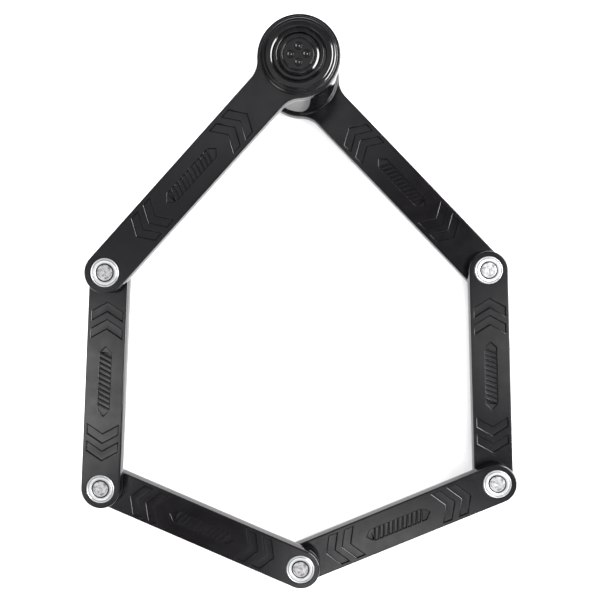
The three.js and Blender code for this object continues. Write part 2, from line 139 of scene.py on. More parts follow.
def finish_mesh(bm, name):
    """The bmesh as a mesh in metres, with its faces pointing out."""
    bmesh.ops.recalc_face_normals(bm, faces=bm.faces)
    bmesh.ops.scale(bm, vec=(MM, MM, MM), verts=bm.verts)
    mesh = bpy.data.meshes.new(name)
    bm.to_mesh(mesh)
    bm.free()
    return mesh


def shade(piece, sharp_degrees):
    """Smooth shading that keeps flat faces flat and edges over the angle sharp."""
    mesh = piece.data
    mesh.polygons.foreach_set("use_smooth", [True] * len(mesh.polygons))
    mesh.set_sharp_from_angle(angle=math.radians(sharp_degrees))
    weighted = piece.modifiers.new("weighted_normals", "WEIGHTED_NORMAL")
    weighted.keep_sharp = True


def stand_in(piece, node, body, surface, sharp_degrees=32):
    """Finishes a piece that stands for a CAD node and rides on a body."""
    shade(piece, sharp_degrees)
    piece.data.materials.append(surface)
    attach(piece, body)
    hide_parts(node)


def node_height(node):
    """The height of a CAD node, in millimetres."""
    low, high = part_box(node)
    return (high.z - low.z) / MM


def softened(points, radius, steps=4, closed=False):
    """A profile with each corner rounded, by at most radius and half of its shorter side."""
    points = [Vector(point) for point in points]
    count = len(points)
    result = []
    for i, corner in enumerate(points):
        if not closed and i in (0, count - 1):
            result.append(corner)
            continue
        before = points[i - 1] - corner
        after = points[(i + 1) % count] - corner
        reach = min(radius, before.length / 2, after.length / 2)
        start = corner + before.normalized() * reach
        end = corner + after.normalized() * reach
        for k in range(steps + 1):
            t = k / steps
            result.append(start * (1 - t) ** 2 + corner * 2 * t * (1 - t) + end * t * t)
    return result


def turned_bmesh(profile, facets, closed):
    """A profile of (radius, height) points turned about the Z axis."""
    bm = bmesh.new()
    rings = []
    for radius, height in profile:
        if radius < 1e-6:
            rings.append([bm.verts.new((0, 0, height))])
            continue
        turn = [2 * math.pi * k / facets for k in range(facets)]
        ring = [bm.verts.new((radius * math.cos(a), radius * math.sin(a), height)) for a in turn]
        rings.append(ring)
    pairs = list(zip(rings, rings[1:]))
    if closed:
        pairs.append((rings[-1], rings[0]))
    for low, high in pairs:
        for k in range(facets):
            corners = [low[k % len(low)], low[(k + 1) % facets % len(low)]]
            corners += [high[(k + 1) % facets % len(high)], high[k % len(high)]]
            corners = list(dict.fromkeys(corners))
            if len(corners) > 2:
                bm.faces.new(corners)
    return bm


def add_turned(name, profile, centre, height, closed=False, facets=FACETS, soft=0.15):
    """A turned piece whose own origin is on its axis, at a height in metres."""
    if soft:
        profile = softened(profile, soft, closed=closed)
    mesh = finish_mesh(turned_bmesh(profile, facets, closed), name)
    return add_object(name, mesh, Matrix.Translation((centre.x, centre.y, height)))


def lofted_bmesh(rings):
    """A closed solid through rings of points, each a list of (x, y) and a height."""
    bm = bmesh.new()
    rows = [[bm.verts.new((x, y, height)) for x, y in points] for points, height in rings]
    for low, high in zip(rows, rows[1:]):
        for k in range(len(low)):
            after = (k + 1) % len(low)
            bm.faces.new((low[k], low[after], high[after], high[k]))
    bm.faces.new(list(reversed(rows[0])))
    bm.faces.new(rows[-1])
    return bm


def rectangle(left, right, low, high):
    return [(left, low), (right, low), (right, high), (left, high)]


def offset_outline(points, distance):
    """A closed outline, given anticlockwise, with each side moved out by a distance."""
    moved = []
    count = len(points)
    for i in range(count):
        here = Vector(points[i])
        into = (here - Vector(points[i - 1])).normalized()
        out_of = (Vector(points[(i + 1) % count]) - here).normalized()
        normal_in = Vector((into.y, -into.x))
        normal_out = Vector((out_of.y, -out_of.x))
        mitre = (normal_in + normal_out) / (1 + normal_in.dot(normal_out))
        moved.append(tuple(here + mitre * distance))
    return moved


def subtract(piece, cutters):
    """Cuts a list of bmeshes, which don't touch each other, out of a piece."""
    for cutter in cutters:
        mesh = finish_mesh(cutter, "cutter")
        tool = add_object("cutter", mesh, piece.matrix_world)
        cut = piece.modifiers.new("cut", "BOOLEAN")
        cut.operation = "DIFFERENCE"
        cut.solver = "EXACT"
        cut.object = tool
        bpy.context.view_layer.update()
        evaluated = piece.evaluated_get(bpy.context.evaluated_depsgraph_get())
        result = bpy.data.meshes.new_from_object(evaluated)
        piece.modifiers.clear()
        old = piece.data
        piece.data = result
        bpy.data.meshes.remove(old)
        bpy.data.objects.remove(tool)
        bpy.data.meshes.remove(mesh)


def joined(bmeshes):
    """One bmesh that holds several separate solids."""
    whole = bmesh.new()
    for part in bmeshes:
        mesh = bpy.data.meshes.new("part")
        part.to_mesh(mesh)
        part.free()
        whole.from_mesh(mesh)
        bpy.data.meshes.remove(mesh)
    return whole


# Link covers ---------------------------------------------------------------------------------


def arc(x, y, radius, start, end, steps):
    turns = [start + (end - start) * k / steps for k in range(steps + 1)]
    return [(x + radius * math.cos(a), y + radius * math.sin(a)) for a in turns]


def link_length(link):
    start, end = link_ends(link)
    return (end - start).length / MM


def link_ends(link):
    """Where a link starts and ends: a long one at the lock, a short one at its lower pivot."""
    if link == 6:
        return PIVOTS[0], PIVOTS[5]
    return PIVOTS[link - 1], PIVOTS[link]


def link_outline(link, inset):
    length = link_length(link)
    radius = LINK_RADIUS[link in LONG_LINKS] - inset
    quarter = math.pi / 2
    points = arc(length, 0, radius, -quarter, quarter, END_STEPS)
    if link not in LONG_LINKS:
        return points + arc(0, 0, radius, quarter, 3 * quarter, END_STEPS)
    head = HEAD_RADIUS - inset
    neck = NECK_RADIUS + inset
    rise = radius + neck
    reach = math.sqrt((head + neck) ** 2 - rise**2)
    tangent = math.atan2(rise, reach)
    points += arc(reach, rise, neck, 3 * quarter, 2 * quarter + tangent, NECK_STEPS)
    points += arc(0, 0, head, tangent, 4 * quarter - tangent, HEAD_STEPS)[1:-1]
    points += arc(reach, -rise, neck, 2 * quarter - tangent, quarter, NECK_STEPS)
    return points


def side_section():
    """Inset and height up the side of a cover: a round edge, a draft and the parting line."""
    edge = []
    for k in range(EDGE_STEPS + 1):
        angle = math.pi / 2 * k / EDGE_STEPS
        inset = SIDE_DRAFT + (EDGE_WIDTH - SIDE_DRAFT) * (1 - math.sin(angle))
        edge.append((inset, EDGE_HEIGHT * (1 - math.cos(angle))))
    middle = LINK_HEIGHT / 2
    lower = edge + [(0, middle - PARTING_HALF)]
    upper = [(inset, LINK_HEIGHT - height) for inset, height in reversed(lower)]
    return lower + [(PARTING_DEPTH, middle)] + upper


def pocket(outline, lip, top, up):
    """A cutter for a shallow pocket whose walls round over into the face. up is 1 or -1."""
    rings = [(offset_outline(outline, -POCKET_TAPER), top - up * POCKET_DEPTH)]
    for k in range(LIP_STEPS + 1):
        turn = LIP_TURN * (1 - k / LIP_STEPS)
        across = lip * (1 - math.sin(turn) / math.sin(LIP_TURN))
        down = (POCKET_DEPTH - POCKET_FLOOR) * (1 - math.cos(turn)) / (1 - math.cos(LIP_TURN))
        rings.append((offset_outline(outline, across), top - up * down))
    rings.append((offset_outline(outline, lip + 0.6), top + up * 0.3))
    return lofted_bmesh(rings)


def chevron(tip, side):
    """A chevron that points away from the middle of the pattern, on one side of it."""
    back = CHEVRON_HALF_WIDTH * CHEVRON_SLOPE
    points = [
        (tip, 0),
        (tip - back, CHEVRON_HALF_WIDTH),
        (tip - back - CHEVRON_BAND, CHEVRON_HALF_WIDTH),
        (tip - CHEVRON_BAND, 0),
        (tip - back - CHEVRON_BAND, -CHEVRON_HALF_WIDTH),
        (tip - back, -CHEVRON_HALF_WIDTH),
    ]
    if side > 0:
        return points
    return [(-x, y) for x, y in reversed(points)]


def panel_outline():
    length, width = PANEL_HALF_LENGTH, PANEL_HALF_WIDTH
    square = length - width
    lower = [(-length, 0), (-square, -width), (square, -width)]
    return lower + [(length, 0), (square, width), (-square, width)]


def panel_pockets():
    """The sunk panel, split into pockets by slanting ribs that stay level with the face."""
    outline = panel_outline()
    lean = math.tan(RIB_LEAN) * PANEL_HALF_WIDTH
    half = RIB_WIDTH / 2
    first = -RIB_STEP * (RIB_COUNT - 1) / 2
    edges = [first + RIB_STEP * k for k in range(RIB_COUNT)]
    width = PANEL_HALF_WIDTH
    left_end = [(-PANEL_HALF_LENGTH, 0), outline[1]]
    left_end += [(edges[0] - half - lean, -width), (edges[0] - half + lean, width), outline[5]]
    right_end = [(edges[-1] + half - lean, -width), outline[2], (PANEL_HALF_LENGTH, 0), outline[4]]
    right_end += [(edges[-1] + half + lean, width)]
    pockets = [left_end, right_end]
    for before, after in zip(edges, edges[1:]):
        low, high = before + half, after - half
        lower = [(low - lean, -width), (high - lean, -width)]
        pockets.append(lower + [(high + lean, width), (low + lean, width)])
    return pockets


def pattern_cutters(link):
    long_link = link in LONG_LINKS
    middle = link_length(link) - PATTERN_FROM_RIVET[long_link]
    outlines = [(outline, NARROW_LIP) for outline in panel_pockets()]
    for tip in CHEVRON_TIPS:
        outlines += [(chevron(tip, 1), WIDE_LIP), (chevron(tip, -1), WIDE_LIP)]
    cutters = []
    for outline, lip in outlines:
        placed = [(x + middle, y) for x, y in outline]
        cutters.append(pocket(placed, lip, LINK_HEIGHT, 1))
        cutters.append(pocket(placed, lip, 0, -1))
    return cutters


def bore(radius, x, flare=0.25):
    """A cutter for a hole through a cover, with its lips broken."""
    profile = [
        (0, -1),
        (radius + flare + 1, -1),
        (radius + flare, 0),
        (radius + flare * 0.3, flare * 0.4),
        (radius, flare),
        (radius, LINK_HEIGHT - flare),
        (radius + flare * 0.3, LINK_HEIGHT - flare * 0.4),
        (radius + flare, LINK_HEIGHT),
        (radius + flare + 1, LINK_HEIGHT + 1),
        (0, LINK_HEIGHT + 1),
    ]
    bm = turned_bmesh(profile, HOLE_FACETS, closed=False)
    bmesh.ops.translate(bm, vec=(x, 0, 0), verts=bm.verts)
    return bm


def store_link_place(piece, link):
    """Moves a cover's place into its mesh. What was its own place stays as an attribute.

    The attribute runs from 0 to 1 between the rivets, and is in millimetres from the middle of
    the link across and up.
    """
    mesh = piece.data
    stored = mesh.attributes.new(LINK_PLACE, "FLOAT_VECTOR", "POINT")
    for vertex, point in zip(mesh.vertices, stored.data):
        x, y, z = vertex.co / MM
        point.vector = (x / link_length(link), y, z - LINK_HEIGHT / 2)
    mesh.transform(piece.matrix_world)
    piece.matrix_world = Matrix.Identity(4)


def add_cover(link, surface):
    node = f"link_{link}_cover"
    start, end = link_ends(link)
    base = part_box(node)[0].z
    along = end - start
    place = Matrix.Translation((start.x, start.y, base))
    place @= Matrix.Rotation(math.atan2(along.y, along.x), 4, "Z")
    rings = [(link_outline(link, inset), height) for inset, height in side_section()]
    piece = add_object(f"cover_{link}", finish_mesh(lofted_bmesh(rings), node), place)
    holes = [bore(COVER_HOLE, link_length(link)), bore(HEAD_HOLE.get(link, COVER_HOLE), 0)]
    hollow_outline = link_outline(link, HOLLOW_INSET)
    hollow_top = LINK_HEIGHT - HOLLOW_BASE
    hollow = lofted_bmesh([(hollow_outline, HOLLOW_BASE), (hollow_outline, hollow_top)])
    subtract(piece, [joined(holes + pattern_cutters(link)), hollow])
    store_link_place(piece, link)
    stand_in(piece, node, BODY_OF_LINK[link], surface)


# Pivots --------------------------------------------------------------------------------------

WASHER_PROFILE = [
    (5.3, -1.0), (9.85, -1.0), (9.85, -0.3), (9.6, 0.0), (9.2, 0.0), (8.95, -0.4),
    (8.6, -0.4), (8.35, -0.06), (8.0, 0.0), (7.3, -0.04), (6.7, -0.18), (6.35, -0.36),
    (6.25, -0.85), (5.3, -0.85),
]  # fmt: skip
RIVET_SHANK = 5.0
RIVET_HEAD = 5.75
RIVET_LENGTH = 15.2
HEAD_DEPTH = 1.0
HAMMER_DEPTH = 0.2
HAMMER_STEP = 0.45


def rivet_profile():
    """A rivet with a flat-domed, hammered head at each end, and a dimple in its middle."""
    head = [(0, 0.42), (0.6, 0.34), (1.2, 0.1), (1.9, 0.02), (4.0, 0.05), (5.2, 0.14)]
    head += [(RIVET_HEAD, 0.34), (RIVET_HEAD, 0.58), (RIVET_SHANK, 0.6)]
    far = [(radius, RIVET_LENGTH - height) for radius, height in reversed(head)]
    return head + far


def hammered(piece, seed):
    """Small flats and pits on the ends of a rivet, from the tool that spread it."""
    for vertex in piece.data.vertices:
        x, y, z = (c / MM for c in vertex.co)
        radius = math.hypot(x, y)
        if RIVET_SHANK + 0.5 < radius or 0.59 < z < RIVET_LENGTH - 0.59:
            continue
        turn = math.atan2(y, x)
        petals = math.sin(5 * turn + seed + 0.9 * radius) * min(1, radius / 2)
        pits = math.sin(2.6 * x + seed) * math.sin(3.1 * y - 1.7 * seed)
        rings = math.sin(3.6 * radius + seed)
        wave = (petals + pits + rings + 3) / 6
        side = 1 if z > HEAD_DEPTH else -1
        fade = min(1, max(0, RIVET_SHANK + 0.5 - radius))
        vertex.co.z -= side * HAMMER_DEPTH * MM * wave * fade


def dense_rings(profile, step):
    """A profile with points added so that no stretch is longer than a step."""
    result = [Vector(profile[0])]
    for point in profile[1:]:
        start = result[-1]
        end = Vector(point)
        parts = max(1, math.ceil((end - start).length / step))
        result += [start.lerp(end, k / parts) for k in range(1, parts + 1)]
    return result


def add_pivot(pivot, washer_surface, rivet_surface):
    body = BODY_OF_LINK[pivot]
    centre = PIVOTS[pivot]
    low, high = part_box(f"rivet_{pivot}")
    profile = softened(rivet_profile(), 0.12, 2)
    near = [point for point in profile if point[1] < HEAD_DEPTH]
    far = [point for point in profile if point[1] > RIVET_LENGTH - HEAD_DEPTH]
    dense = dense_rings(near, HAMMER_STEP) + dense_rings(far, HAMMER_STEP)
    rivet = add_turned(f"peened_rivet_{pivot}", dense, centre, low.z, facets=64, soft=0)
    hammered(rivet, pivot * 1.3)
    stand_in(rivet, f"rivet_{pivot}", body, rivet_surface, sharp_degrees=40)
    for side, height, flip in (("front", high.z, 1), ("rear", low.z, -1)):
        profile = [(radius, flip * depth) for radius, depth in WASHER_PROFILE]
        washer = add_turned(f"{side}_ring_{pivot}", profile, centre, height, closed=True, soft=0.14)
        stand_in(washer, f"{side}_washer_{pivot}", body, washer_surface)


# Lock ----------------------------------------------------------------------------------------


def add_round(node, name, body, surface, profile, closed=True, soft=0.2, facets=FACETS, cutters=()):
    """A turned piece on the lock axis that stands for a CAD node. Its profile starts at height 0."""
    low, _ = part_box(node)
    piece = add_turned(name, profile, LOCK_AXIS, low.z, closed=closed, soft=soft, facets=facets)
    subtract(piece, cutters)
    stand_in(piece, node, body, surface)


BARREL_RADIUS = 26.2
BARREL_INNER = 25.0


def add_barrel(gloss, hardened):
    height = node_height("barrel_sleeve")
    sleeve = [
        (BARREL_INNER, 0), (27.3, 0), (27.3, 0.12), (27.22, 0.28), (27.0, 0.42), (26.6, 0.56),
        (26.3, 0.64), (BARREL_RADIUS, 0.9), (BARREL_RADIUS, height - 0.7), (26.0, height - 0.25),
        (25.6, height), (BARREL_INNER, height),
    ]  # fmt: skip
    add_round(
        "barrel_sleeve", "barrel_skin", "lock_body", gloss, sleeve,
        facets=FACETS_WIDE,
    )  # fmt: skip
    plate = [(8.9, 0), (24.7, 0), (24.7, 1.0), (20.4, 1.0), (20.2, 0.8), (19.6, 0.8)]
    plate += [(19.4, 1.0), (9.3, 1.0), (8.9, 0.6)]
    add_round(
        "barrel_end_plate", "end_plate", "lock_body", hardened, plate, soft=0.1
    )


def add_spigot(hardened):
    height = node_height("locking_spigot")
    ball_low, ball_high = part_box("locking_ball_1")
    ball_height = ((ball_low.z + ball_high.z) / 2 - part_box("locking_spigot")[0].z) / MM
    profile = [
        (0, 0), (8.4, 0), (8.6, 0.2), (8.6, height - 0.9), (7.9, height), (5.9, height),
        (5.5, height - 0.3), (5.5, 3.0), (0, 3.0),
    ]  # fmt: skip
    sockets = []
    for k in range(3):
        turn = 2 * math.pi * k / 3 + math.pi / 2
        socket = turned_bmesh([(0, 3), (2.6, 3), (2.6, 12), (0, 12)], 40, closed=False)
        place = Matrix.Translation((0, 0, ball_height)) @ Matrix.Rotation(turn, 4, "Z")
        place @= Matrix.Rotation(math.pi / 2, 4, "Y")
        bmesh.ops.transform(socket, matrix=place, verts=socket.verts)
        sockets.append(socket)
    add_round(
        "locking_spigot", "spigot", "spigot", hardened, profile,
        closed=False, soft=0.15, cutters=[joined(sockets)],
    )  # fmt: skip


def add_keeper(hardened):
    height = node_height("keeper_ring")
    profile = [(9.4, 0), (13.2, 0), (13.2, height), (10.2, height)]
    profile += [(10.2, 2.0), (8.9, 2.0), (8.9, 0.5)]
    add_round("keeper_ring", "keeper", "link_6", hardened, profile, soft=0.12)


KEY_SLOT = (1.0, 4.0, -4.0, 4.0)
GRIP_ENDS = (-6.4, -1.6)
GRIP_HALF_WIDTH = 0.6
GRIP_OFFSET = 1.6


def add_key_side(zinc, gloss):
    trim = [(9.4, 0.3), (9.7, 0), (15.9, 0), (16.7, 0.5), (16.7, 2.4), (11.3, 2.4)]
    trim += [(11.3, 0.7), (9.4, 0.7)]
    add_round("rear_trim_ring", "key_well_ring", "lock_body", zinc, trim, soft=0.15)
    height = node_height("dust_cover")
    face = [(0, 0.12), (7.4, 0.12), (7.6, 0), (11.0, 0), (11.0, height), (0, height)]
    opening = rectangle(*KEY_SLOT)
    slot = lofted_bmesh(
        [(offset_outline(opening, 0.4), -0.5), (opening, 0.35), (opening, height + 0.5)]
    )
    grips = []
    for middle in (-GRIP_OFFSET, GRIP_OFFSET):
        outline = rectangle(*GRIP_ENDS, middle - GRIP_HALF_WIDTH, middle + GRIP_HALF_WIDTH)
        grips.append(lofted_bmesh([(offset_outline(outline, 0.5), -0.3), (outline, 0.45)]))
    add_round(
        "dust_cover", "key_shutter", "dust_cover", gloss, face,
        closed=False, soft=0.12, cutters=[joined([slot] + grips)],
    )  # fmt: skip


CAP_STEPS = [
    (14.5, 0), (25.95, 0), (26.0, 0.45), (25.8, 0.7), (24.95, 0.95), (24.75, 1.0), (24.2, 1.4),
    (23.9, 1.5), (22.9, 1.6), (22.3, 2.0), (21.9, 2.16), (19.1, 2.26), (18.7, 2.2), (17.1, 1.15),
    (16.85, 1.05), (16.8, 2.3), (16.6, 2.6), (14.8, 2.68), (14.5, 2.35),
]  # fmt: skip
INSERT_STEPS = [
    (0, 0.6), (10.9, 0.6), (10.9, 0), (14.05, 0), (14.05, 1.85), (12.8, 2.7), (12.45, 2.88),
    (12.2, 2.9), (11.2, 2.9), (10.9, 2.8), (10.8, 2.3), (10.2, 2.3), (10.15, 2.74), (9.95, 2.86),
    (0, 2.86),
]  # fmt: skip
PIN_STEPS = [
    (0, 0), (2.35, 0), (2.35, 0.5), (2.25, 0.68), (2.05, 0.76), (1.85, 0.7), (1.65, 0.45),
    (1.4, 0.32), (0.85, 0.3), (0.65, 0.42), (0.35, 0.62), (0, 0.7),
]  # fmt: skip
PIN_SOCKET = [(0, 2.2), (2.6, 2.2), (2.6, 2.7), (2.95, 3.05), (2.95, 3.6), (0, 3.6)]


def add_cap(surface):
    add_round(
        "front_cap", "stepped_cap", "link_6", surface, CAP_STEPS,
        soft=0.25, facets=FACETS_WIDE,
    )  # fmt: skip
    sockets = []
    for node in [f"cap_pin_{k}" for k in range(1, 5)]:
        low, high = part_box(node)
        centre = (low + high) / 2
        socket = turned_bmesh(PIN_SOCKET, 48, closed=False)
        offset = (centre - LOCK_AXIS) / MM
        bmesh.ops.translate(socket, vec=(offset.x, offset.y, 0), verts=socket.verts)
        sockets.append(socket)
        pin = add_turned(f"capped_{node}", PIN_STEPS, centre, low.z, facets=48, soft=0.08)
        stand_in(pin, node, "link_6", surface)
    add_round(
        "cap_insert", "cap_middle", "link_6", surface, INSERT_STEPS,
        closed=False, soft=0.2, facets=FACETS_WIDE, cutters=[joined(sockets)],
    )  # fmt: skip


# Materials -----------------------------------------------------------------------------------


class Surface:
    """A node material. Its methods add texture to one Principled shader."""

    def __init__(self, name, colour, roughness, metallic=0.0):
        self.material = bpy.data.materials.new(name)
        self.material.use_nodes = True
        self.tree = self.material.node_tree
        self.shader = self.tree.nodes["Principled BSDF"]
        self.shader.inputs["Base Color"].default_value = (*colour, 1)
        self.shader.inputs["Roughness"].default_value = roughness
        self.shader.inputs["Metallic"].default_value = metallic
        self.colour = colour
        self.roughness = roughness
        self.coordinates = self.node("ShaderNodeTexCoord")
        self.place = self.coordinates.outputs["Object"]
        self.height = None

    def node(self, kind, **inputs):
        made = self.tree.nodes.new(kind)
        for socket, value in inputs.items():
            made.inputs[socket.replace("_", " ")].default_value = value
        return made

    def link(self, output, target):
        self.tree.links.new(output, target)

    def noise(self, size_mm, detail=3.0, stretch=(1, 1, 1)):
        """Noise from 0 to 1, with features about size_mm across."""
        texture = self.node("ShaderNodeTexNoise", Scale=1 / (size_mm * MM), Detail=detail)
        mapping = self.node("ShaderNodeMapping")
        mapping.inputs["Scale"].default_value = stretch
        self.link(self.place, mapping.inputs["Vector"])
        self.link(mapping.outputs["Vector"], texture.inputs["Vector"])
        return texture.outputs["Fac"]

    def remap(self, value, low, high, to_low, to_high):
        made = self.node("ShaderNodeMapRange", From_Min=low, From_Max=high, To_Min=to_low, To_Max=to_high)
        self.link(value, made.inputs["Value"])
        return made.outputs["Result"]

    def vary_colour(self, value, other, low=0.3, high=0.7):
        """Mixes the base colour towards another where a value is high."""
        mix = self.node("ShaderNodeMix")
        mix.data_type = "RGBA"
        socket = self.shader.inputs["Base Color"]
        if socket.is_linked:
            self.link(socket.links[0].from_socket, mix.inputs[6])
        else:
            mix.inputs[6].default_value = (*self.colour, 1)
        mix.inputs[7].default_value = (*other, 1)
        self.link(self.remap(value, low, high, 0, 1), mix.inputs[0])
        self.link(mix.outputs[2], socket)

    def vary_roughness(self, value, spread):
        low, high = self.roughness - spread, self.roughness + spread
        self.link(self.remap(value, 0.25, 0.75, low, high), self.shader.inputs["Roughness"])

    def smoother_sides(self, roughness, coat_weight):
        """Polishes the surface where it stands upright: less rough, and with a clear coat."""
        level = self.remap(self.upright(), 0.85, 0.985, 0, 1)
        mix = self.node("ShaderNodeMix", A=roughness)
        socket = self.shader.inputs["Roughness"]
        self.link(level, mix.inputs["Factor"])
        self.link(socket.links[0].from_socket, mix.inputs["B"])
        self.link(mix.outputs["Result"], socket)
        coat = self.remap(level, 0, 1, coat_weight, 0)
        self.link(coat, self.shader.inputs["Coat Weight"])
        self.shader.inputs["Coat Roughness"].default_value = 0.06

    def upright(self):
        """0 where the surface stands upright and 1 where it is level."""
        split = self.node("ShaderNodeSeparateXYZ")
        self.link(self.coordinates.outputs["Normal"], split.inputs["Vector"])
        return self.absolute(split.outputs["Z"])

    def pocket_walls(self):
        """1 low on the walls of the pockets in a link's faces, and 0 on the rest of the link."""
        stored = self.node("ShaderNodeAttribute")
        stored.attribute_name = LINK_PLACE
        split = self.node("ShaderNodeSeparateXYZ")
        self.link(stored.outputs["Vector"], split.inputs["Vector"])
        level = self.absolute(split.outputs["Z"])
        face = LINK_HEIGHT / 2
        under_lip = self.remap(level, face - 0.5 * POCKET_DEPTH, face - 0.38 * POCKET_DEPTH, 1, 0)
        over_floor = self.remap(level, face - POCKET_DEPTH, face - 0.93 * POCKET_DEPTH, 0, 1)
        aside = self.absolute(split.outputs["Y"])
        between_sides = self.remap(aside, PATTERN_SIDE, PATTERN_SIDE + 0.2, 1, 0)
        past_start = self.remap(split.outputs["X"], 0, 0.01, 0, 1)
        before_end = self.remap(split.outputs["X"], 0.99, 1, 1, 0)
        mask = self.multiply(under_lip, over_floor)
        for value in (between_sides, past_start, before_end):
            mask = self.multiply(mask, value)
        return mask

    def shade_pocket_walls(self):
        """Takes the shine off the pockets' walls low down, as painted shade in the recesses."""
        mask = self.pocket_walls()
        self.link(self.remap(mask, 0, 1, 0.5, 0.06), self.shader.inputs["Specular IOR Level"])
        coat = self.shader.inputs["Coat Weight"]
        self.link(self.multiply(coat.links[0].from_socket, self.remap(mask, 0, 1, 1, 0)), coat)

    def bump(self, value, depth_mm):
        made = self.node("ShaderNodeBump", Strength=1.0, Distance=depth_mm * MM)
        self.link(value, made.inputs["Height"])
        if self.height is not None:
            self.link(self.height, made.inputs["Normal"])
        self.height = made.outputs["Normal"]
        self.link(self.height, self.shader.inputs["Normal"])

    def edge_mask(self):
        """1 on edges that are rounded over between a level face and an upright one."""
        ramp = self.node("ShaderNodeValToRGB")
        stops = ramp.color_ramp.elements
        stops[0].position, stops[0].color = 0.35, (0, 0, 0, 1)
        stops[1].position, stops[1].color = 0.995, (0, 0, 0, 1)
        peak = stops.new(0.8)
        peak.color = (1, 1, 1, 1)
        self.link(self.upright(), ramp.inputs["Fac"])
        return ramp.outputs["Color"]

    def rings(self, pitch_mm):
        """Concentric rings about the piece's own axis, as a lathe leaves."""
        scale = math.pi / (10 * pitch_mm * MM)
        wave = self.node("ShaderNodeTexWave", Scale=scale, Distortion=0.6, Detail=2.0)
        wave.wave_type = "RINGS"
        wave.rings_direction = "Z"
        self.link(self.place, wave.inputs["Vector"])
        return wave.outputs["Fac"]

    def ring_at(self, radius_mm, half_width_mm):
        """1 in a ring about the piece's own axis, and 0 away from it."""
        flat = self.node("ShaderNodeVectorMath")
        flat.operation = "MULTIPLY"
        flat.inputs[1].default_value = (1, 1, 0)
        self.link(self.place, flat.inputs[0])
        radius = self.node("ShaderNodeVectorMath")
        radius.operation = "LENGTH"
        self.link(flat.outputs["Vector"], radius.inputs[0])
        low, high = radius_mm - half_width_mm, radius_mm + half_width_mm
        inner = self.remap(radius.outputs["Value"], (low - 0.15) * MM, low * MM, 0, 1)
        outer = self.remap(radius.outputs["Value"], high * MM, (high + 0.15) * MM, 1, 0)
        return self.multiply(inner, outer)

    def arithmetic(self, operation, *values):
        made = self.node("ShaderNodeMath")
        made.operation = operation
        for value, socket in zip(values, made.inputs):
            self.link(value, socket)
        return made.outputs[0]

    def absolute(self, value):
        return self.arithmetic("ABSOLUTE", value)

    def multiply(self, first, second):
        return self.arithmetic("MULTIPLY", first, second)


def cover_plastic():
    """Charcoal moulded plastic: satin faces with a fine grain, glossier sides, and rounded edges painted
    lighter, partly as rubbed wear and partly as a painted highlight.
    """
    surface = Surface("cover_plastic", (0.0020, 0.0017, 0.0023), 0.22)
    surface.vary_colour(surface.noise(26, 2), (0.0030, 0.0026, 0.0034))
    # Rounded edges painted lighter: partly rubbed wear, partly a painted highlight.
    wear_and_highlight = surface.multiply(surface.edge_mask(), surface.noise(3.5, 4))
    surface.vary_colour(wear_and_highlight, (0.008, 0.008, 0.009), 0.35, 0.75)
    surface.vary_roughness(surface.noise(9, 3), 0.04)
    surface.smoother_sides(0.12, 0.3)
    # The pockets' walls are darkened low down: painted shade.
    surface.shade_pocket_walls()
    surface.bump(surface.noise(0.3, 3), 0.010)
    surface.bump(surface.noise(14, 1), 0.04)
    return surface.material


def barrel_gloss():
    """High-gloss black lacquer, with a faint orange peel."""
    surface = Surface("barrel_gloss", (0.002, 0.002, 0.0023), 0.06)
    surface.vary_roughness(surface.noise(6, 4), 0.015)
    surface.vary_colour(surface.noise(12, 2), (0.003, 0.003, 0.0034))
    surface.bump(surface.noise(2.4, 1), 0.003)
    return surface.material


def cap_satin():
    """Satin black, turned: fine rings under the coating and a slight sparkle."""
    surface = Surface("cap_satin", (0.0030, 0.0029, 0.0033), 0.24)
    surface.vary_colour(surface.noise(7, 3), (0.0048, 0.0046, 0.0052))
    # Rounded edges painted lighter: partly rubbed wear, partly a painted highlight.
    wear_and_highlight = surface.multiply(surface.edge_mask(), surface.noise(2.5, 4))
    surface.vary_colour(wear_and_highlight, (0.012, 0.012, 0.013), 0.35, 0.75)
    surface.vary_roughness(surface.noise(4, 3), 0.03)
    surface.smoother_sides(0.12, 0.3)
    surface.bump(surface.rings(0.5), 0.0005)
    surface.bump(surface.noise(0.35, 2), 0.002)
    return surface.material


def zinc_plate():
    """Bright turned zinc, with faint rings from the lathe and painted shade in its two grooves."""
    surface = Surface("zinc_plate", (0.76, 0.77, 0.78), 0.4, 0.8)
    surface.vary_colour(surface.noise(5, 2), (0.66, 0.68, 0.7))
    # Painted shade: the groove is darkened.
    surface.vary_colour(surface.ring_at(8.65, 0.2), (0.3, 0.31, 0.32), 0.2, 0.8)
    # Painted shade: the gap next to the rivet is darkened almost to black.
    surface.vary_colour(surface.ring_at(5.95, 0.3), (0.02, 0.02, 0.021), 0.2, 0.8)
    surface.vary_roughness(surface.noise(3, 2), 0.04)
    surface.bump(surface.rings(0.9), 0.0004)
    return surface.material


def peened_steel():
    """Steel spread by a tool: pitted and grey."""
    surface = Surface("peened_steel", (0.6, 0.6, 0.61), 0.4, 0.85)
    surface.vary_colour(surface.noise(2.2, 4), (0.25, 0.25, 0.26), 0.5, 0.65)
    # Painted shade: a dark ring at the rim of the head, by the gap to the washer.
    surface.vary_colour(surface.ring_at(5.8, 0.3), (0.03, 0.03, 0.031), 0.2, 0.8)
    surface.vary_roughness(surface.noise(1.6, 3), 0.08)
    surface.bump(surface.noise(1.6, 2), 0.03)
    return surface.material


def ground_steel(name, colour, roughness, grain):
    """Steel ground along its length, or round, with a grain in one direction."""
    surface = Surface(name, colour, roughness, 1.0)
    darker = tuple(0.65 * c for c in colour)
    surface.vary_colour(surface.noise(5, 4, grain), darker)
    surface.vary_roughness(surface.noise(0.8, 3, grain), 0.08)
    surface.bump(surface.noise(0.4, 2, grain), 0.008)
    return surface.material


def machined_brass():
    surface = Surface("machined_brass", (0.60, 0.42, 0.16), 0.28, 1.0)
    surface.vary_colour(surface.noise(3, 4), (0.42, 0.29, 0.11))
    surface.vary_roughness(surface.noise(1.2, 3), 0.07)
    surface.bump(surface.noise(0.5, 2, (1, 1, 6)), 0.008)
    return surface.material


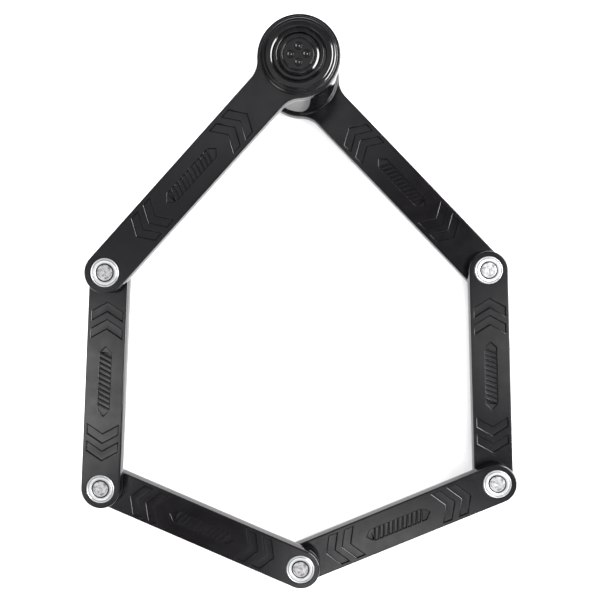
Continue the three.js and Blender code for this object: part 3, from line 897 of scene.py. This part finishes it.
def pale_floor():
    surface = Surface("pale_floor", (0.86, 0.86, 0.86), 0.7)
    surface.shader.inputs["Emission Color"].default_value = (1, 1, 1, 1)
    surface.shader.inputs["Emission Strength"].default_value = 0.1
    surface.vary_colour(surface.noise(400, 2), (0.84, 0.84, 0.845))
    surface.bump(surface.noise(3, 3), 0.02)
    return surface.material


# Object --------------------------------------------------------------------------------------

plastic = cover_plastic()
gloss = barrel_gloss()
satin = cap_satin()
zinc = zinc_plate()
peened = peened_steel()
hardened = ground_steel("hardened_steel", (0.30, 0.30, 0.32), 0.3, (1, 1, 5))
bar_steel = ground_steel("bar_steel", (0.36, 0.37, 0.39), 0.38, (0.2, 3, 3))
brass = machined_brass()

for link in LINKS:
    add_cover(link, plastic)
for pivot in range(1, PIVOT_COUNT + 1):
    add_pivot(pivot, zinc, peened)
add_barrel(gloss, hardened)
add_spigot(hardened)
add_keeper(hardened)
add_key_side(zinc, gloss)
add_cap(satin)

KEPT = {
    "steel_bar": (bar_steel, [f"link_{link}_bar" for link in LINKS]),
    "zinc_washer": (zinc, [f"spacer_{pivot}" for pivot in range(1, PIVOT_COUNT + 1)]),
    "cylinder_brass": (brass, ["cylinder_case", "key_plug"]),
    "hardened_steel": (
        hardened,
        ["barrel_body", "sidebar", "cam_driver", "wedge_pin"]
        + [f"lock_disc_{k}" for k in range(1, 6)]
        + [f"locking_ball_{k}" for k in range(1, 4)],
    ),
}
for slot_name, (surface, nodes) in KEPT.items():
    for node in nodes:
        kept = frame["nodes"][node]
        kept.data.materials.clear()
        kept.data.materials.append(surface)

# Stage ---------------------------------------------------------------------------------------

FLOOR_HALF = 2.4
FLOOR_GAP = 0.0002

floor_mesh = bpy.data.meshes.new("floor")
corners = rectangle(-FLOOR_HALF, FLOOR_HALF, -FLOOR_HALF, FLOOR_HALF)
floor_mesh.from_pydata([(x, y, 0) for x, y in corners], [], [(0, 1, 2, 3)])
floor = add_object("floor", floor_mesh)
floor.location.z = cad_low.z - FLOOR_GAP
floor_mesh.materials.append(pale_floor())


def add_softbox(name, azimuth, elevation, distance, width, height, power, reflected=False):
    """A light that faces the middle of the lock. Azimuth 0 is towards +X, 90 towards +Y."""
    light = bpy.data.lights.new(name, "AREA")
    light.shape = "RECTANGLE"
    light.size = width
    light.size_y = height
    light.energy = power
    lamp = bpy.data.objects.new(name, light)
    bpy.context.scene.collection.objects.link(lamp)
    turn, rise = math.radians(azimuth), math.radians(elevation)
    out = Vector((math.cos(turn) * math.cos(rise), math.sin(turn) * math.cos(rise), math.sin(rise)))
    lamp.location = out * distance
    lamp.rotation_mode = "QUATERNION"
    lamp.rotation_quaternion = out.to_track_quat("Z", "Y")
    lamp.visible_glossy = reflected


add_softbox("key_right", 13, 31, 1.8, 1.9, 0.8, 92, reflected=True)
add_softbox("fill_left", 172, 28, 1.9, 1.1, 1.1, 26)
add_softbox("fill_back", 90, 28, 1.9, 1.1, 1.1, 26)
add_softbox("fill_front", -90, 28, 1.9, 1.1, 1.1, 26)
add_softbox("overhead", 0, 90, 2.0, 2.6, 2.6, 34)

# The walls are pale low down, and the ceiling is dark with pale panels. A panel has a place, a
# half-size and a brightness, all on a level plane 1 m up, so a direction (x, y, 1) points at (x, y).
CEILING_DIM = 0.025
HORIZON = 0.85
PANELS = (
    (-0.49, -0.20, 0.15, 0.17, 4.8),
    (0.37, -0.10, 0.13, 0.12, 2.6),
    (0.16, -0.53, 0.24, 0.12, 4.4),
    (-0.12, 0.32, 0.26, 0.15, 1.0),
    (-0.34, 0.10, 0.12, 0.10, 0.6),
    (0.10, 0.25, 0.07, 0.05, 0.45),
)
world = bpy.data.worlds.new("studio")
bpy.context.scene.world = world
world.use_nodes = True
sky = world.node_tree
background = sky.nodes["Background"]


def sky_math(operation, first, second):
    made = sky.nodes.new("ShaderNodeMath")
    made.operation = operation
    for socket, value in zip(made.inputs, (first, second)):
        if isinstance(value, bpy.types.NodeSocket):
            sky.links.new(value, socket)
        else:
            socket.default_value = value
    return made.outputs[0]


def sky_step(value, low, high, to_low, to_high):
    made = sky.nodes.new("ShaderNodeMapRange")
    made.interpolation_type = "SMOOTHSTEP"
    sky.links.new(value, made.inputs["Value"])
    numbers = {"From Min": low, "From Max": high, "To Min": to_low, "To Max": to_high}
    for name, number in numbers.items():
        made.inputs[name].default_value = number
    return made.outputs["Result"]


direction = sky.nodes.new("ShaderNodeTexCoord")
split = sky.nodes.new("ShaderNodeSeparateXYZ")
sky.links.new(direction.outputs["Generated"], split.inputs["Vector"])
height = sky_math("MAXIMUM", split.outputs["Z"], 0.05)
across = sky_math("DIVIDE", split.outputs["X"], height)
along = sky_math("DIVIDE", split.outputs["Y"], height)
brightness = sky_step(split.outputs["Z"], 0.05, 0.25, HORIZON, CEILING_DIM)
for x, y, half_width, half_depth, strength in PANELS:
    reach_x = sky_math("DIVIDE", sky_math("SUBTRACT", across, x), half_width)
    reach_y = sky_math("DIVIDE", sky_math("SUBTRACT", along, y), half_depth)
    square_x = sky_math("MULTIPLY", reach_x, reach_x)
    square_y = sky_math("MULTIPLY", reach_y, reach_y)
    reach = sky_math("ADD", square_x, square_y)
    brightness = sky_math("ADD", brightness, sky_step(reach, 0.35, 1.6, strength, 0.0))
sky.links.new(brightness, background.inputs["Strength"])
background.inputs["Color"].default_value = (1, 1, 1, 1)
bpy.context.scene.view_settings.view_transform = "Standard"

# Camera --------------------------------------------------------------------------------------

CAMERA_AIM = Vector((0, -163.2, 27.2)) * MM  # from the foot of the lock axis
CAMERA_HEIGHT = 0.397
CAMERA_ROLL_X = math.radians(-1.22)
CAMERA_ROLL_Y = math.radians(2.54)
CAMERA_LENS = 33.66

camera_data = bpy.data.cameras.new("camera")
camera_data.lens = CAMERA_LENS
camera_data.sensor_width = 36
camera = bpy.data.objects.new("camera", camera_data)
bpy.context.scene.collection.objects.link(camera)
tilt = Matrix.Rotation(CAMERA_ROLL_Y, 4, "Y") @ Matrix.Rotation(CAMERA_ROLL_X, 4, "X")
aim = Matrix.Translation(LOCK_AXIS + CAMERA_AIM)
camera.matrix_world = aim @ tilt @ Matrix.Translation((0, 0, CAMERA_HEIGHT))
bpy.context.scene.camera = camera
